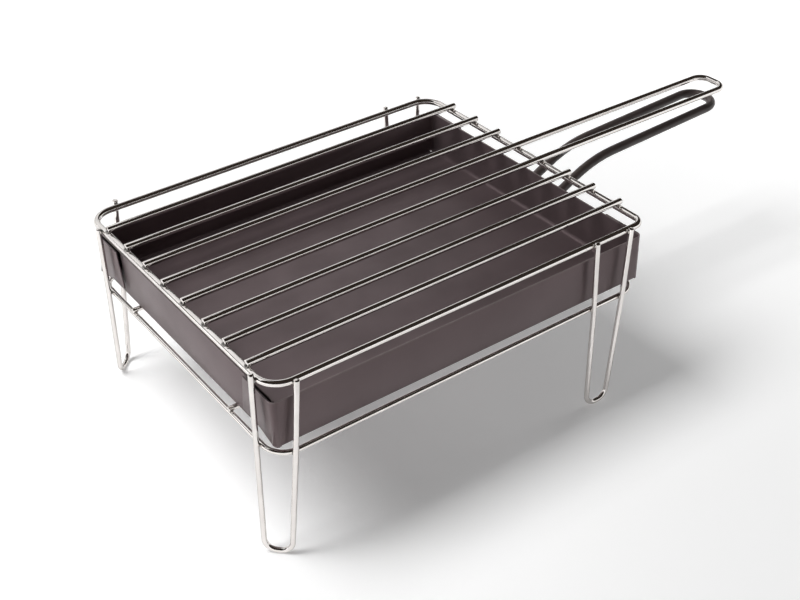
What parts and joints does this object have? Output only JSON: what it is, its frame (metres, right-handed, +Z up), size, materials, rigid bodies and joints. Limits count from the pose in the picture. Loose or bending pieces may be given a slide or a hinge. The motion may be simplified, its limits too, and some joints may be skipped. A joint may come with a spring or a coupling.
{
  "type": "tabletop grill",
  "caption": "Rectangular wire stand on hairpin legs, with a welded wire grate and a long carrying loop, over a folded sheet-metal charcoal pan that slides out by a rod handle.",
  "frame": {"origin": "on the table, under the middle of the two wire rings", "axes": "+X towards the handles, +Y towards the rear long side, +Z up"},
  "size_m": [0.542, 0.2797, 0.1542],
  "materials": {
    "chromed_wire": "bright polished plating on steel wire",
    "plated_weld": "plated over, uneven and duller than the wire",
    "pan_paint": "satin heat-proof paint with a fine grain",
    "rod_paint": "satin to matt paint on a bent rod"
  },
  "bodies": {
    "stand": {"top_ring": "chromed_wire", "grate_bar_rear_outer": "chromed_wire", "grate_bar_rear_middle": "chromed_wire", "grate_bar_rear_inner": "chromed_wire", "grate_bar_front_inner": "chromed_wire", "grate_bar_front_middle": "chromed_wire", "grate_bar_front_outer": "chromed_wire", "carrying_handle": "chromed_wire", "lower_ring": "chromed_wire", "pan_rest_front": "chromed_wire", "pan_rest_rear": "chromed_wire", "leg_front_left": "chromed_wire", "leg_front_right": "chromed_wire", "leg_rear_left": "chromed_wire", "leg_rear_right": "chromed_wire", "grate_welds": "plated_weld", "leg_welds": "plated_weld", "rest_welds": "plated_weld"},
    "pan": {"charcoal_pan": "pan_paint", "pan_handle": "rod_paint", "pan_handle_welds": "rod_paint"}
  },
  "joints": [
    {"name": "pan_slide", "type": "slide", "parent": "stand", "child": "pan", "axis": [1, 0, 0], "range_m": [-0.002, 0.33]}
  ]
}
